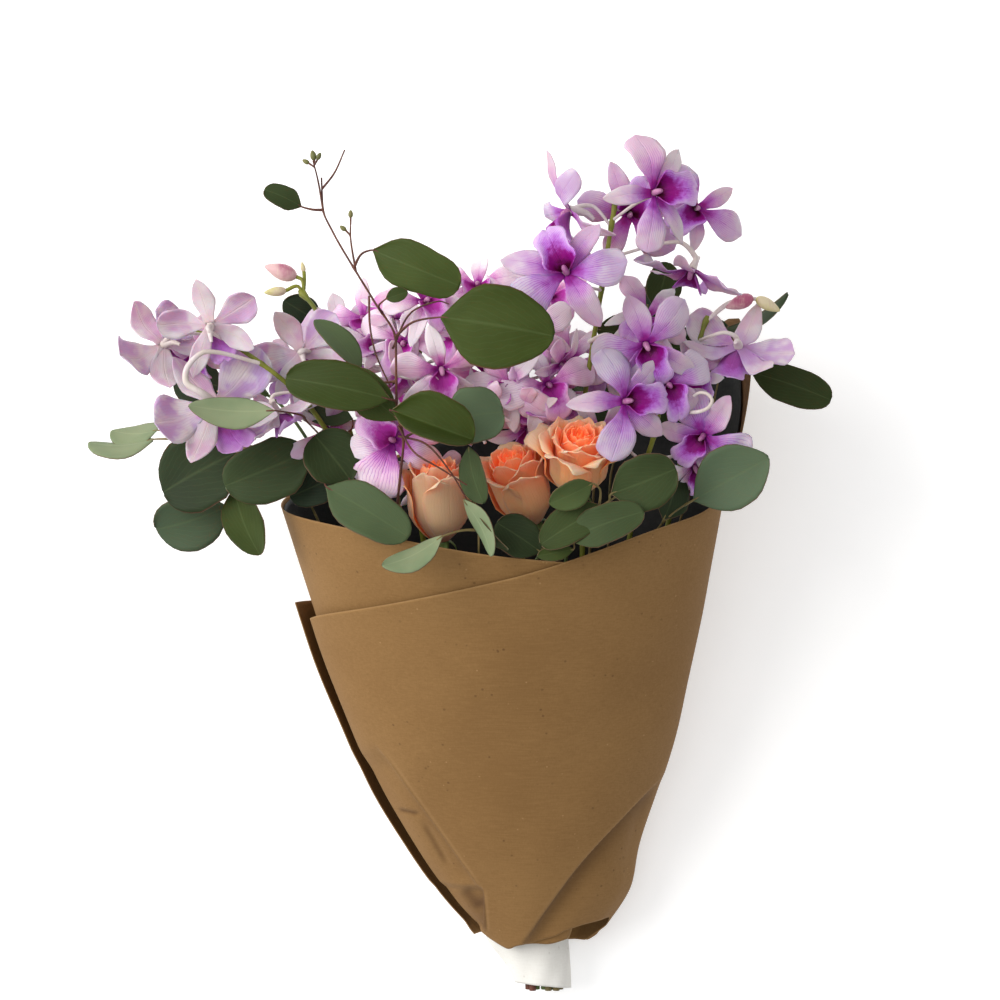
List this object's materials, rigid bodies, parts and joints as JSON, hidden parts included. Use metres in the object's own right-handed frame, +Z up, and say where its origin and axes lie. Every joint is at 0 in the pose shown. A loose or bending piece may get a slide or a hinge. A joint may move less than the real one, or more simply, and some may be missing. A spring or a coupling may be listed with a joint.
{
  "type": "mixed flower bouquet",
  "caption": "Bouquet of orchid sprays, roses and round-leaved eucalyptus in a flared kraft paper wrap, lying on its back.",
  "frame": {"origin": "on the flat underside of the kraft sheet at the back, on which the bouquet lies, under the middle of the wrap", "axes": "+Z up from the surface it lies on, +Y along the bouquet from the cut stems to the flowers, +X to the right seen from above with the flowers away from the viewer"},
  "size_m": [0.4782, 0.5523, 0.2444],
  "materials": {
    "kraft": "matte",
    "black_paper": "satin",
    "white_paper": "matte",
    "tie": "matte",
    "rose": "matte",
    "rose_green": "matte",
    "orchid": "matte",
    "eucalyptus": "matte"
  },
  "bodies": {
    "root": {"kraft_outer_sheet": "kraft", "kraft_back_sheet": "kraft", "black_liner": "black_paper", "white_stem_sleeve": "white_paper", "stem_tie": "tie", "rose_left": "rose", "rose_middle": "rose", "rose_right": "rose", "rose_bud": "rose", "rose_left_stem": "rose_green", "rose_middle_stem": "rose_green", "rose_right_stem": "rose_green", "rose_bud_stem": "rose_green", "orchid_right_tall": "orchid", "orchid_right_low": "orchid", "orchid_far_right": "orchid", "orchid_left": "orchid", "orchid_upper_left": "orchid", "orchid_centre_left": "orchid", "orchid_centre_right": "orchid", "eucalyptus_left_low": "eucalyptus", "eucalyptus_left_front": "eucalyptus", "eucalyptus_tall": "eucalyptus", "eucalyptus_front_left": "eucalyptus", "eucalyptus_front_right": "eucalyptus", "eucalyptus_right": "eucalyptus", "eucalyptus_right_upper": "eucalyptus", "eucalyptus_top_back": "eucalyptus", "eucalyptus_back_left": "eucalyptus", "eucalyptus_back_right": "eucalyptus"}
  },
  "joints": []
}
